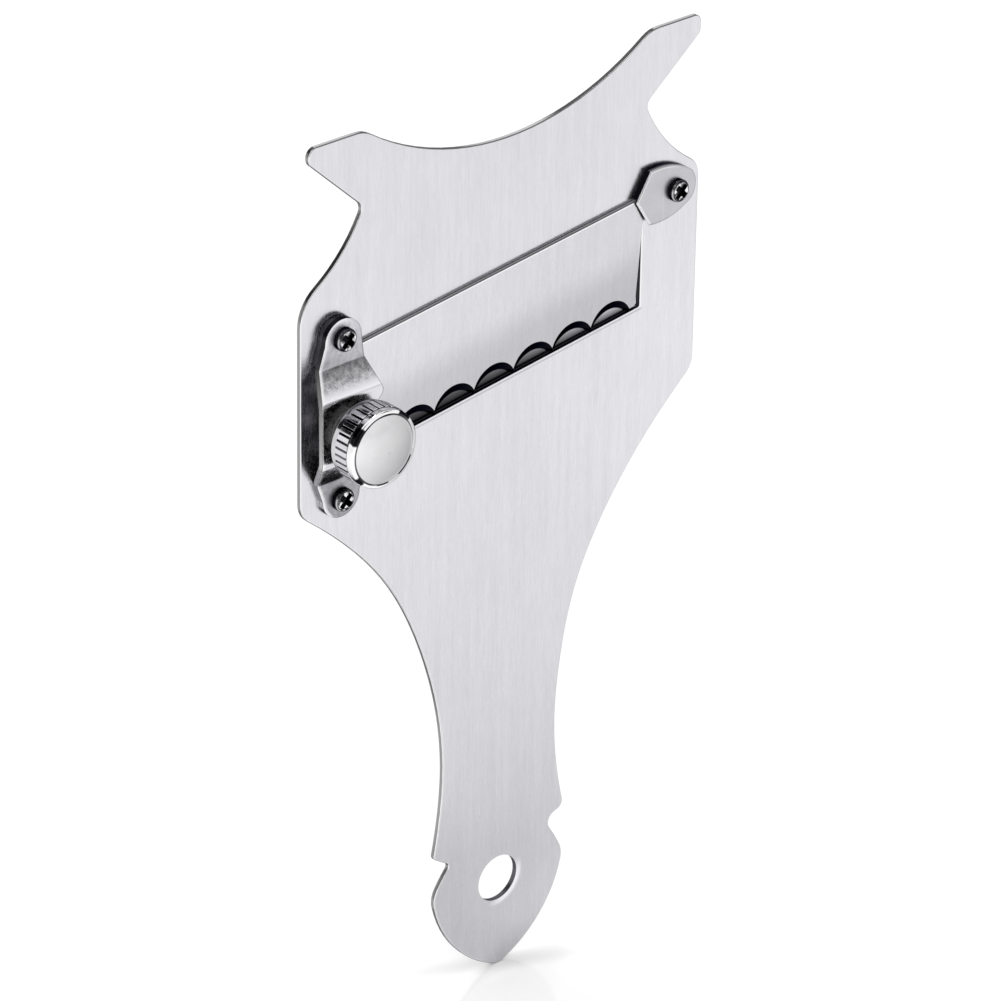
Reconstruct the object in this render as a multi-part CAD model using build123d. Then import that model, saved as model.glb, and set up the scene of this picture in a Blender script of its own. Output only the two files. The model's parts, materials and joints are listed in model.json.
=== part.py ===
from build123d import *
import math
import os

# Truffle slicer: a flat stainless body with a slanted window, a wave-ground blade that
# rocks on the window's upper edge, and a knurled knob on a bridge that sets the slice.
# Millimetres. X right, Z up along the body, the knob side faces -Y, food slides on +Y.
# The origin is the centre of the hanging hole, halfway through the sheet.

# Body sheet
plate_thickness = 1.0
half_width = 45.0
hole_radius = 4.6
tip_depth = 18.85  # hole centre down to the tip, before its rounding
tip_x = 0.4
mouth_height = 146.9  # lowest point of the concave upper edge
mouth_radius_right = 55.5
mouth_radius_left = 53.5
horn_rise_right = 10.6  # horn's top above the mouth's lowest point
horn_rise_left = 9.95
horn_end_right = 3.3  # height of the horn's blunt end
horn_end_left = 2.65
horn_inset_right = 0.5  # horn's end inside the body's full width
horn_inset_left = 2.0
neck_inset_right = 13.1
neck_inset_left = 13.55
neck_drop_right = 10.25  # neck below the lower corner of the horn's end
neck_drop_left = 10.7
shoulder_rise = 8.37  # upper shoulder above the window's upper edge on the centre line
side_length_right = 39.8
side_length_left = 39.3
hip_flare_right = 0.05  # how much wider the body is at its lower shoulder
hip_flare_left = 0.35
waist_right = 13.42
waist_left = 13.3
waist_height = 28.5
heel_right = 16.0  # corner above the finger notch
heel_left = 15.4
heel_rise_right = 1.6  # above the notch
heel_rise_left = 2.8
notch_depth_right = 4.85  # in from the heel
notch_depth_left = 4.1
notch_height_right = 7.75
notch_height_left = 7.4
lobe_overhang_right = 4.75  # out from the notch
lobe_overhang_left = 4.15
lobe_drop_right = 8.15  # below the notch
lobe_drop_left = 5.9
lobe_bulge_right = 3.45  # how far the rounded end swells out of its chord
lobe_bulge_left = 3.4
notch_bulge = 0.25  # how far the curve beside the notch swells out of its chord
edge_rounding = 0.2
horn_root_rounding = 6.0
horn_tip_rounding_right = 1.6
horn_tip_rounding_left = 1.7
neck_rounding = 1.8
shoulder_rounding_right = 4.5
shoulder_rounding_left = 8.0
hip_rounding = 4.5
heel_rounding_right = 1.6
heel_rounding_left = 0.9
notch_rounding_right = 2.0
notch_rounding_left = 1.0
lobe_rounding = 5.0
tip_rounding = 3.0

# Window and blade
window_slant = 6.93  # degrees, right end higher
window_margin_left = 3.7  # sheet left beside the window
window_margin_right = 13.4
pivot_drop = 25.77  # window's upper edge below the mouth's lowest point, on the centre line
window_drop = 19.3  # across the slant
window_rounding = 0.5
blade_thickness = 0.7
blade_lip = 2.0  # part of the blade that lies above the window
bridge_clearance = 0.25  # between the bridge's upper foot and the blade's lip
tongue_setback = 0.6
ear_length = 3.4  # the blade's lip past the window's right end
ear_lift = 0.25
end_clearance = 0.22
end_taper = 0.75  # the blade's right end runs this far in at its cutting edge
edge_clearance = 0.15
edge_inset = 0.06  # cutting edge inside the front face at rest
pivot_gap = 0.03
wave_pitch = 9.05
wave_first_offset = 2.1  # first cusp from the blade's right end
wave_rise = 3.7  # arch top above the cutting edge
wave_arch_radius = 4.95
wave_grind_angle = 16.5  # degrees between the ground hollow and the blade
edge_web = 0.18  # steel left at the cutting edge

# Bridge that carries the knob
bridge_inset = 7.7  # bridge's centre line inside the body's full width
bridge_thickness = 1.0
knob_drop = 11.25  # knob's centre below the window's upper edge beside it
deck_above = 7.0  # lengths up and down from the knob's centre, one after another
deck_below = 4.7
upper_slope = 5.05
lower_slope = 5.05
upper_foot_length = 4.2  # bend to the centre of the foot's round end
lower_foot_length = 3.45
upper_screw_offset = 0.3  # screw past the centre of the foot's round end
lower_screw_offset = 0.5
upper_foot_radius = 3.9
lower_foot_radius = 4.0
upper_bend_reach_right = 4.4
upper_bend_reach_left = 5.3
lower_bend_half_width = 5.2
deck_half_width = 6.7
deck_neck_half_width = 4.9  # on the right, where the knob hides the deck
shoulder_drop = 1.3  # the deck's right shoulder below its upper bend
shoulder_run = 1.6  # from the shoulder down to the neck
shoulder_blend = 1.5
neck_blend = 1.0
deck_rise = 4.35  # outer face of the deck above the body's rear face
bend_radius = 1.6
side_blend = 2.5
shim_thickness = 0.75
shim_setback = 0.3
shim_inset = 0.4

# Right end clip
clip_thickness = 1.4
clip_screw_inset = 6.6  # clip's screw inside the body's full width
clip_lift = 0.75  # clip's middle above the line of the window's upper edge
clip_apex_reach = 9.4  # left of the screw
clip_shoulder_reach = 6.2
clip_half_height = 5.1
clip_flank_reach = 0.1  # right of the screw
clip_flank_half_height = 4.6
clip_heel_reach = 3.8
clip_heel_half_height = 2.7
clip_tail_reach = 4.8
clip_heel_rounding = 1.0
clip_bevel = 0.2
pocket_depth = 1.15
pocket_clearance = 0.35

# Pan head screws
screw_radius = 1.25
screw_clearance = 0.03
screw_head_radius = 2.1
screw_head_height = 1.3
screw_head_rounding = 0.65
recess_length = 3.0
recess_turn = 45  # degrees
recess_width = 1.05
recess_depth = 0.8
screw_tip_inset = 0.05

# Knob and its stud
knob_radius = 7.2  # over the knurl's ridges
knob_gap = 2.2  # deck to the knob's underside at rest
collar_radius = 6.95  # plain band behind the knurl
collar_length = 1.25
collar_rounding = 0.35
knurl_length = 3.05
knurl_teeth = 36
knurl_depth = 0.4
knurl_bevel = 0.2
knurl_mouth_share = 0.36  # groove's width over the pitch
ring_radius = 7.05  # plain band in front of the knurl
ring_length = 1.4
ring_rounding = 0.45
cap_radius = 6.3
cap_depth = 0.7
cap_rise = 1.2
seam_chamfer = 0.18
spring_recess_radius = 4.6
spring_recess_depth = 3.0
stud_radius = 2.0
stud_clearance = 0.05
stud_nose_radius = 1.7
stud_nose_gap = 0.08
nose_rounding_share = 0.98
ring_groove_radius = 1.45
thread_pitch = 0.7
knob_turns = 2.0
bush_radius = 3.0
bush_flange_radius = 3.8
bush_flange_thickness = 0.8
stop_ring_radius = 3.1
stop_ring_thickness = 0.5
stop_ring_gap = 0.1
stop_ring_mouth = 2.2
washer_radius = 4.35
washer_thickness = 0.5
washer_play = 0.04
spring_radius = 3.2  # to the middle of the wire
spring_wire = 0.3  # radius of the wire
spring_turns = 3.5
steepest_tilt = 30  # degrees, more than the blade ever turns
tilt_steps = 60
overrun = 3.0

# Points between two named corners, as shares of the way across and of the way up
flare_right_shares = ((0.726, 0.873), (0.402, 0.676), (0.131, 0.415), (0.030, 0.187))
flare_left_shares = ((0.709, 0.868), (0.397, 0.675), (0.155, 0.414), (0.035, 0.186))
handle_shares = ((0.375, 0.60),)
flank_shares = (0.39, 0.44)

rear_y = -plate_thickness / 2
front_y = plate_thickness / 2
slant = math.radians(window_slant)
travel = thread_pitch * knob_turns
pivot_height = mouth_height - pivot_drop
window_left = half_width - window_margin_left
window_right = half_width - window_margin_right
bridge_x = bridge_inset - half_width
knob_x = bridge_x
lip_left = bridge_x + upper_bend_reach_right + bridge_clearance
knob_height = pivot_height + knob_x * math.tan(slant) - knob_drop
deck_top_height = knob_height + deck_above
upper_bend_height = deck_top_height + upper_slope
upper_end_height = upper_bend_height + upper_foot_length
upper_screw_height = upper_end_height + upper_screw_offset
deck_bottom_height = knob_height - deck_below
lower_bend_height = deck_bottom_height - lower_slope
lower_end_height = lower_bend_height - lower_foot_length
lower_screw_height = lower_end_height - lower_screw_offset
clip_screw_x = half_width - clip_screw_inset
clip_height = pivot_height + clip_screw_x * math.tan(slant) + clip_lift
ear_right = window_right + ear_length

horn_top_right = mouth_height + horn_rise_right
horn_top_left = mouth_height + horn_rise_left
horn_tip_right = horn_top_right - horn_end_right
horn_tip_left = horn_top_left - horn_end_left
upper_shoulder_height = pivot_height + shoulder_rise
notch_right = heel_right - notch_depth_right
notch_left = heel_left - notch_depth_left

right_side = {
    "mouth_radius": mouth_radius_right,
    "horn_top": horn_top_right,
    "horn_tip": (half_width - horn_inset_right, horn_tip_right),
    "horn_rounding": horn_tip_rounding_right,
    "shoulder_rounding": shoulder_rounding_right,
    "heel_rounding": heel_rounding_right,
    "notch_rounding": notch_rounding_right,
    "neck": (half_width - neck_inset_right, horn_tip_right - neck_drop_right),
    "hip": (half_width + hip_flare_right, upper_shoulder_height - side_length_right),
    "flare_shares": flare_right_shares,
    "waist": waist_right,
    "heel": (heel_right, notch_height_right + heel_rise_right),
    "notch": (notch_right, notch_height_right),
    "lobe": (notch_right + lobe_overhang_right, notch_height_right - lobe_drop_right),
    "lobe_bulge": lobe_bulge_right,
    "tip": tip_x,
}
left_side = {
    "mouth_radius": mouth_radius_left,
    "horn_top": horn_top_left,
    "horn_tip": (half_width - horn_inset_left, horn_tip_left),
    "horn_rounding": horn_tip_rounding_left,
    "shoulder_rounding": shoulder_rounding_left,
    "heel_rounding": heel_rounding_left,
    "notch_rounding": notch_rounding_left,
    "neck": (half_width - neck_inset_left, horn_tip_left - neck_drop_left),
    "hip": (half_width + hip_flare_left, upper_shoulder_height - side_length_left),
    "flare_shares": flare_left_shares,
    "waist": waist_left,
    "heel": (heel_left, notch_height_left + heel_rise_left),
    "notch": (notch_left, notch_height_left),
    "lobe": (notch_left + lobe_overhang_left, notch_height_left - lobe_drop_left),
    "lobe_bulge": lobe_bulge_left,
    "tip": -tip_x,
}


def slab(outline, rear, front):
    """A flat shape drawn in X and Z, filled between two depths."""
    return Pos(0, front, 0) * (Plane.XZ * extrude(outline, front - rear))


def lathe(points, x, z):
    """A turned piece about a line along Y through (x, z), from (radius, depth) points."""
    profile = make_face(Polyline(*points, close=True))
    return Pos(x, 0, z) * revolve(profile, Axis.Y)


def bore(radius, x, z):
    """A long round cutter along Y through (x, z)."""
    reach = half_width
    return slab(Pos(x, z) * Circle(radius), -reach, reach)


def near(shape, x, z):
    """The corner of a flat outline nearest to (x, z)."""
    spot = Vector(x, z)
    return min(shape.vertices(), key=lambda corner: (Vector(*corner) - spot).length)


def add_edge_rounding(solid, radius):
    """Break the outer rim of a flat piece on both faces."""
    rims = []
    for side in (Axis.Y, -Axis.Y):
        face = solid.faces().sort_by(side)[-1]
        rims += face.outer_wire().edges()
    return fillet(rims, radius)


# Body sheet
def window_face():
    """The slanted opening: upper and lower edges slant, the ends stand upright."""
    slope = math.tan(slant)
    drop = window_drop / math.cos(slant)
    top_left = (-window_left, pivot_height - window_left * slope)
    top_right = (window_right, pivot_height + window_right * slope)
    low_right = (window_right, top_right[1] - drop)
    low_left = (-window_left, top_left[1] - drop)
    face = make_face(Polyline(top_left, top_right, low_right, low_left, close=True))
    return fillet(face.vertices(), window_rounding)


def half_outline(side):
    """Half of the body's outline from the mouth down to the tip, and its corners."""
    radius, top, horn_tip = side["mouth_radius"], side["horn_top"], side["horn_tip"]
    neck, hip, waist = side["neck"], side["hip"], side["waist"]
    heel, notch, lobe = side["heel"], side["notch"], side["lobe"]
    shoulder = (half_width, upper_shoulder_height)
    horn_root = math.sqrt(radius ** 2 - (radius + mouth_height - top) ** 2)
    mid_x = horn_root / 2
    mid_z = mouth_height + radius - math.sqrt(radius ** 2 - mid_x ** 2)
    flank = (
        neck[0] + (shoulder[0] - neck[0]) * flank_shares[0],
        shoulder[1] + (neck[1] - shoulder[1]) * flank_shares[1],
    )
    span_x = hip[0] - waist
    span_z = hip[1] - waist_height
    flare = [(waist + a * span_x, waist_height + b * span_z) for a, b in side["flare_shares"]]
    grip_x = heel[0] - waist
    grip_z = waist_height - heel[1]
    grip = [(waist + a * grip_x, waist_height - b * grip_z) for a, b in handle_shares]
    edges = [
        ThreePointArc((0, mouth_height), (mid_x, mid_z), (horn_root, top)),
        Line((horn_root, top), (horn_tip[0], top)),
        Line((horn_tip[0], top), horn_tip),
        Line(horn_tip, neck),
        ThreePointArc(neck, flank, shoulder),
        Line(shoulder, hip),
        Spline(hip, *flare, (waist, waist_height), *grip, heel),
        Line(heel, notch),
        SagittaArc(notch, lobe, notch_bulge),
        SagittaArc(lobe, (side["tip"], -tip_depth), side["lobe_bulge"]),
    ]
    corners = [
        (horn_root, top, horn_root_rounding),
        (horn_tip[0], top, side["horn_rounding"]),
        (*horn_tip, side["horn_rounding"]),
        (*neck, neck_rounding),
        (*shoulder, side["shoulder_rounding"]),
        (*hip, hip_rounding),
        (*heel, side["heel_rounding"]),
        (*notch, side["notch_rounding"]),
        (*lobe, lobe_rounding),
    ]
    return Wire(edges), corners


def plate_face():
    """The body's outline, whose two sides differ a little."""
    right, right_corners = half_outline(right_side)
    left, left_corners = half_outline(left_side)
    face = make_face(Wire(right.edges() + mirror(left, Plane.YZ).edges()))
    corners = right_corners + [(-x, z, radius) for x, z, radius in left_corners]
    corners.append((tip_x, -tip_depth, tip_rounding))
    for x, z, radius in corners:
        face = fillet(near(face, x, z), radius)
    return face


def body_plate():
    body = slab(plate_face(), rear_y, front_y)
    body = add_edge_rounding(body, edge_rounding)
    body -= slab(window_face(), rear_y - overrun, front_y + overrun)
    body -= bore(hole_radius, 0, 0)
    for x, z in screw_places():
        body -= bore(screw_radius + screw_clearance, x, z)
    return body


def screw_places():
    return (
        (bridge_x, upper_screw_height),
        (bridge_x, lower_screw_height),
        (clip_screw_x, clip_height),
    )


# Blade
blade_reach = window_drop - edge_clearance  # across the slant, pivot to cutting edge
rest_tilt = math.asin((plate_thickness - edge_inset - pivot_gap) / blade_reach)
blade_depth = blade_reach / math.cos(rest_tilt)


def blade_plane(extra_tilt=0.0):
    """x along the window's upper edge, y towards the horns, z out of the rear face."""
    tilt = rest_tilt + extra_tilt
    along = Vector(math.cos(slant), 0, math.sin(slant))
    across = Vector(-math.sin(slant), 0, math.cos(slant))
    rearward = Vector(0, -1, 0)
    normal = rearward * math.cos(tilt) - across * math.sin(tilt)
    origin = Vector(0, rear_y, pivot_height)
    return Plane(origin=origin, x_dir=along, z_dir=normal)


def upright(x, y):
    """The blade's own coordinates of a point at the body's X, y across the slant."""
    return ((x + y * math.sin(slant)) / math.cos(slant), y)


def blade_face():
    left = -(window_left - end_clearance)
    right = window_right - end_clearance
    return make_face(Polyline(
        upright(lip_left, blade_lip),
        upright(ear_right, blade_lip),
        upright(ear_right, ear_lift),
        upright(right, ear_lift),
        upright(right - end_taper, -blade_depth),
        upright(left, -blade_depth),
        upright(left, -tongue_setback),
        upright(lip_left, -tongue_setback),
        close=True,
    ))


def wave_hollow(x):
    """What the grinding wheel takes out of the blade's rear face at one arch."""
    angle = math.radians(wave_grind_angle)
    depth = blade_thickness - edge_web
    run = depth / math.tan(angle)
    centre = wave_rise - blade_depth - wave_arch_radius
    arch = Pos(x, centre, blade_thickness) * Circle(wave_arch_radius)
    hollow = extrude(arch, depth / math.sin(angle), dir=(0, -math.cos(angle), -math.sin(angle)))
    below = Pos(x, centre - run, edge_web) * Box(
        2 * wave_arch_radius, 2 * window_drop, depth, align=(Align.CENTER, Align.MAX, Align.MIN)
    )
    return hollow + below


def blade():
    flat = extrude(blade_face(), blade_thickness)
    right = upright(window_right - end_clearance, -blade_depth)[0]
    wave_count = int((window_left + window_right - wave_first_offset) / wave_pitch)
    for index in range(wave_count):
        flat -= wave_hollow(right - wave_first_offset - (index + 0.5) * wave_pitch)
    return blade_plane() * Pos(0, 0, pivot_gap) * flat


# Bridge
def offset_points(points, distance):
    """A line of points moved sideways by a distance, its bends kept parallel."""
    runs = [(Vector(*b) - Vector(*a)).normalized() for a, b in zip(points, points[1:])]
    sides = [Vector(-run.Y, run.X) for run in runs]
    moved = [Vector(*points[0]) + sides[0] * distance]
    for point, one, two in zip(points[1:-1], sides, sides[1:]):
        moved.append(Vector(*point) + (one + two) * (distance / (1 + one.dot(two))))
    moved.append(Vector(*points[-1]) + sides[-1] * distance)
    return [(point.X, point.Y) for point in moved]


def bridge_section():
    """The bent strip seen from the side, drawn in Y and Z."""
    upper = rear_y - shim_thickness - bridge_thickness
    lower = rear_y - bridge_thickness
    deck = rear_y - deck_rise
    outer = [
        (lower, lower_end_height - lower_foot_radius - overrun),
        (lower, lower_bend_height),
        (deck, deck_bottom_height),
        (deck, deck_top_height),
        (upper, upper_bend_height),
        (upper, upper_end_height + upper_foot_radius + overrun),
    ]
    inner = offset_points(outer, -bridge_thickness)
    far = bend_radius + bridge_thickness
    outer_line = FilletPolyline(*outer, radius=[bend_radius, far, far, bend_radius])
    inner_line = FilletPolyline(*inner, radius=[far, bend_radius, bend_radius, far])
    return make_face([
        *outer_line.edges(), *inner_line.edges(),
        Line(outer[0], inner[0]), Line(outer[-1], inner[-1]),
    ])


def bridge_left_side():
    """The strip's straight edge from its lower foot to its upper foot, drawn in X and Z."""
    points = [
        (-lower_foot_radius, lower_end_height),
        (-lower_bend_half_width, lower_bend_height),
        (-deck_half_width, deck_bottom_height),
        (-deck_half_width, deck_top_height),
        (-upper_bend_reach_left, upper_bend_height),
        (-upper_foot_radius, upper_end_height),
    ]
    return FilletPolyline(*points, radius=side_blend)


def bridge_right_side():
    """The edge with the rounded shoulder, drawn the same way."""
    shoulder_height = deck_top_height - shoulder_drop
    points = [
        (lower_foot_radius, lower_end_height),
        (lower_bend_half_width, lower_bend_height),
        (deck_neck_half_width, deck_bottom_height),
        (deck_neck_half_width, shoulder_height - shoulder_run),
        (deck_half_width, shoulder_height),
        (upper_bend_reach_right, upper_bend_height),
        (upper_foot_radius, upper_end_height),
    ]
    blends = [side_blend, side_blend, neck_blend, shoulder_blend, side_blend]
    return FilletPolyline(*points, radius=blends)


def bridge_plan():
    """The strip seen from the rear, drawn in X and Z."""
    right = bridge_right_side()
    left = bridge_left_side()
    top = ThreePointArc(
        (upper_foot_radius, upper_end_height),
        (0, upper_end_height + upper_foot_radius),
        (-upper_foot_radius, upper_end_height),
    )
    low = ThreePointArc(
        (lower_foot_radius, lower_end_height),
        (0, lower_end_height - lower_foot_radius),
        (-lower_foot_radius, lower_end_height),
    )
    return Pos(bridge_x, 0) * make_face([*right.edges(), *left.edges(), top, low])


def bridge_bracket():
    strip = Plane.YZ * extrude(bridge_section(), half_width, both=True)
    strip &= slab(bridge_plan(), rear_y - deck_rise - overrun, rear_y)
    strip -= bore(bush_radius, knob_x, knob_height)
    for height in (upper_screw_height, lower_screw_height):
        strip -= bore(screw_radius + screw_clearance, bridge_x, height)
    return strip


def foot_shim():
    above = upper_bend_height + shim_setback
    window = Pos(bridge_x, above) * Rectangle(
        half_width, half_width, align=(Align.CENTER, Align.MIN)
    )
    outline = offset(bridge_plan(), -shim_inset) & window
    shim = slab(outline, rear_y - shim_thickness, rear_y)
    return shim - bore(screw_radius + screw_clearance, bridge_x, upper_screw_height)


# Right end clip
def clip_face():
    apex = (-clip_apex_reach, 0)
    upper = (-clip_shoulder_reach, clip_half_height)
    lower = (-clip_shoulder_reach, -clip_half_height)
    heel_up = (clip_heel_reach, clip_heel_half_height)
    heel_low = (clip_heel_reach, -clip_heel_half_height)
    face = make_face([
        Line(apex, upper),
        ThreePointArc(upper, (clip_flank_reach, clip_flank_half_height), heel_up),
        ThreePointArc(heel_up, (clip_tail_reach, 0), heel_low),
        ThreePointArc(heel_low, (clip_flank_reach, -clip_flank_half_height), lower),
        Line(lower, apex),
    ])
    face = fillet(face.vertices().sort_by(Axis.X)[-2:], clip_heel_rounding)
    return Pos(clip_screw_x, clip_height) * face


def end_clip():
    clip = slab(clip_face(), rear_y - clip_thickness, rear_y)
    rim = clip.faces().sort_by(Axis.Y)[0].edges()
    clip = chamfer(rim, clip_bevel)
    pocket_top = blade_lip + pocket_clearance
    pocket_right = ear_right + pocket_clearance
    reach = half_width
    pocket = make_face(Polyline(
        upright(0, pocket_top), upright(pocket_right, pocket_top),
        upright(pocket_right, -reach), upright(0, -reach), close=True,
    ))
    seat = Plane(
        origin=(0, rear_y, pivot_height),
        x_dir=(math.cos(slant), 0, math.sin(slant)), z_dir=(0, -1, 0),
    )
    clip -= seat * Pos(0, 0, -overrun) * extrude(pocket, pocket_depth + overrun)
    return clip - bore(screw_radius + screw_clearance, clip_screw_x, clip_height)


# Screws
def pan_screw(x, z, seat_y):
    """A cross recessed pan head screw whose head seats at seat_y."""
    tip = front_y - screw_tip_inset
    top = seat_y - screw_head_height
    head = lathe([
        (0, top), (screw_head_radius, top), (screw_head_radius, seat_y),
        (screw_radius, seat_y), (screw_radius, tip), (0, tip),
    ], x, z)
    crown = head.edges().filter_by(GeomType.CIRCLE).sort_by(Axis.Y)[0]
    head = fillet(crown, screw_head_rounding)
    cross = Rectangle(recess_length, recess_width) + Rectangle(recess_width, recess_length)
    cross = Pos(x, z) * Rot(0, 0, recess_turn) * cross
    return head - slab(cross, top - overrun, top + recess_depth)


# Knob
deck_y = rear_y - deck_rise
knob_back = deck_y - knob_gap
collar_front = knob_back - collar_length
knurl_front = collar_front - knurl_length
ring_front = knurl_front - ring_length
cap_seat = ring_front + cap_depth
recess_floor = knob_back - spring_recess_depth
bush_end = deck_y + bridge_thickness + bush_flange_thickness
stop_ring_y = bush_end + stop_ring_gap
washer_y = recess_floor + washer_play
spring_low = washer_y + washer_thickness


def knob():
    profile = make_face(Polyline(
        (stud_radius, recess_floor), (spring_recess_radius, recess_floor),
        (spring_recess_radius, knob_back), (collar_radius, knob_back),
        (collar_radius, collar_front), (knob_radius, collar_front - knurl_bevel),
        (knob_radius, knurl_front + knurl_bevel), (ring_radius, knurl_front),
        (ring_radius, ring_front), (cap_radius + seam_chamfer, ring_front),
        (cap_radius, ring_front + seam_chamfer), (cap_radius, cap_seat),
        (stud_radius, cap_seat), close=True,
    ))
    profile = fillet(near(profile, collar_radius, knob_back), collar_rounding)
    profile = fillet(near(profile, ring_radius, ring_front), ring_rounding)
    body = revolve(profile, Axis.Y)
    pitch_angle = 360 / knurl_teeth
    half_mouth = math.pi * knob_radius / knurl_teeth * knurl_mouth_share
    notch = make_face(Polyline(
        (knob_radius - knurl_depth, 0), (knob_radius + knurl_depth, 2 * half_mouth),
        (knob_radius + knurl_depth, -2 * half_mouth), close=True,
    ))
    groove = slab(notch, knurl_front, collar_front)
    grooves = [Rot(0, index * pitch_angle, 0) * groove for index in range(knurl_teeth)]
    body = body.cut(*grooves)
    return Pos(knob_x, 0, knob_height) * body


def knob_cap():
    """The domed disc pressed into the knob's front."""
    edge = ring_front + seam_chamfer
    top = ring_front - cap_rise
    profile = make_face([
        Line((0, cap_seat), (cap_radius, cap_seat)),
        Line((cap_radius, cap_seat), (cap_radius, edge)),
        Line((cap_radius, edge), (cap_radius - seam_chamfer, ring_front)),
        TangentArc((0, top), (cap_radius - seam_chamfer, ring_front), tangent=(1, 0)),
        Line((0, top), (0, cap_seat)),
    ])
    return Pos(knob_x, 0, knob_height) * revolve(profile, Axis.Y)


def nose_depth(tilt):
    """Depth of the stud's rounded nose when it just clears the tilted blade."""
    lever = (pivot_height + knob_x * math.tan(slant) - knob_height) * math.cos(slant)
    normal_gap = pivot_gap + blade_thickness + stud_nose_gap + stud_nose_radius
    centre = (lever * math.sin(tilt) - normal_gap) / math.cos(tilt)
    return rear_y + centre + stud_nose_radius


def tilt_range():
    """Further tilt of the blade, in degrees, when the knob goes in by its whole travel."""
    goal = nose_depth(rest_tilt) + travel
    low, high = rest_tilt, rest_tilt + math.radians(steepest_tilt)
    for _ in range(tilt_steps):
        middle = (low + high) / 2
        low, high = (middle, high) if nose_depth(middle) < goal else (low, middle)
    return math.degrees(low - rest_tilt)


def adjuster_stud():
    nose = nose_depth(rest_tilt)
    groove_far = stop_ring_y + stop_ring_thickness
    body = lathe([
        (0, cap_seat), (stud_radius, cap_seat), (stud_radius, stop_ring_y),
        (ring_groove_radius, stop_ring_y), (ring_groove_radius, groove_far),
        (stud_nose_radius, groove_far), (stud_nose_radius, nose), (0, nose),
    ], knob_x, knob_height)
    rim = body.edges().filter_by(GeomType.CIRCLE).sort_by(Axis.Y)[-1]
    rounding = min(stud_nose_radius, nose - groove_far) * nose_rounding_share
    return fillet(rim, rounding)


def bridge_bush():
    inner = stud_radius + stud_clearance
    under = deck_y + bridge_thickness
    return lathe([
        (inner, deck_y), (bush_radius, deck_y), (bush_radius, under),
        (bush_flange_radius, under), (bush_flange_radius, bush_end), (inner, bush_end),
    ], knob_x, knob_height)


def stud_stop_ring():
    """A snap ring in the stud's groove, open on one side."""
    ring = Circle(stop_ring_radius) - Circle(ring_groove_radius)
    ring -= Pos(0, -stop_ring_radius) * Rectangle(stop_ring_mouth, 2 * stop_ring_radius)
    return Pos(knob_x, 0, knob_height) * slab(ring, stop_ring_y, stop_ring_y + stop_ring_thickness)


def knob_washer():
    inner = stud_radius + stud_clearance
    return lathe([
        (inner, washer_y), (washer_radius, washer_y),
        (washer_radius, spring_low), (inner, spring_low),
    ], knob_x, knob_height)


def friction_spring():
    """The coil under the knob that keeps its setting, swept along pairs of tangent arcs."""
    low = spring_low + spring_wire
    high = deck_y - spring_wire
    rise = (high - low) / (2 * math.pi * spring_turns)

    def spot(angle):
        return Vector(spring_radius * math.cos(angle), low + rise * angle, spring_radius * math.sin(angle))

    def heading(angle):
        return Vector(
            -spring_radius * math.sin(angle), rise, spring_radius * math.cos(angle)
        ).normalized()

    steps = int(spring_turns * 4)
    arcs = []
    for index in range(steps):
        one, two = index * math.pi / 2, (index + 1) * math.pi / 2
        start, end = spot(one), spot(two)
        chord, bend = end - start, heading(one) + heading(two)
        share = 2 * (1 - heading(one).dot(heading(two)))
        reach = (-chord.dot(bend) + math.sqrt(chord.dot(bend) ** 2 + share * chord.dot(chord))) / share
        joint = (start + heading(one) * reach + end - heading(two) * reach) * 0.5
        first = TangentArc(start, joint, tangent=heading(one))
        arcs += [first, TangentArc(joint, end, tangent=first % 1)]
    path = Wire([arc.edge() for arc in arcs])
    section = Plane(origin=spot(0), z_dir=heading(0)) * Circle(spring_wire)
    print("spring gap between turns", round(2 * math.pi * rise - 2 * spring_wire, 3))
    return Pos(knob_x, 0, knob_height) * sweep(section, path=path)


upper_seat = rear_y - shim_thickness - bridge_thickness
lower_seat = rear_y - bridge_thickness
clip_seat = rear_y - clip_thickness

nodes = {
    "body_plate": body_plate(),
    "blade": blade(),
    "bridge_bracket": bridge_bracket(),
    "foot_shim": foot_shim(),
    "bridge_bush": bridge_bush(),
    "bracket_screw_upper": pan_screw(bridge_x, upper_screw_height, upper_seat),
    "bracket_screw_lower": pan_screw(bridge_x, lower_screw_height, lower_seat),
    "end_clip": end_clip(),
    "clip_screw": pan_screw(clip_screw_x, clip_height, clip_seat),
    "knob": knob(),
    "knob_cap": knob_cap(),
    "adjuster_stud": adjuster_stud(),
    "stud_stop_ring": stud_stop_ring(),
    "knob_washer": knob_washer(),
    "friction_spring": friction_spring(),
}

os.makedirs("parts", exist_ok=True)
for name, shape in nodes.items():
    export_step(shape, f"parts/{name}.step")

print("blade at rest leans", round(math.degrees(rest_tilt), 4), "degrees; further", round(tilt_range(), 4))
print("knob travel", travel, "mm in", knob_turns, "turns")
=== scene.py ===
import bpy
import json
import math
from mathutils import Matrix, Vector


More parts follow.
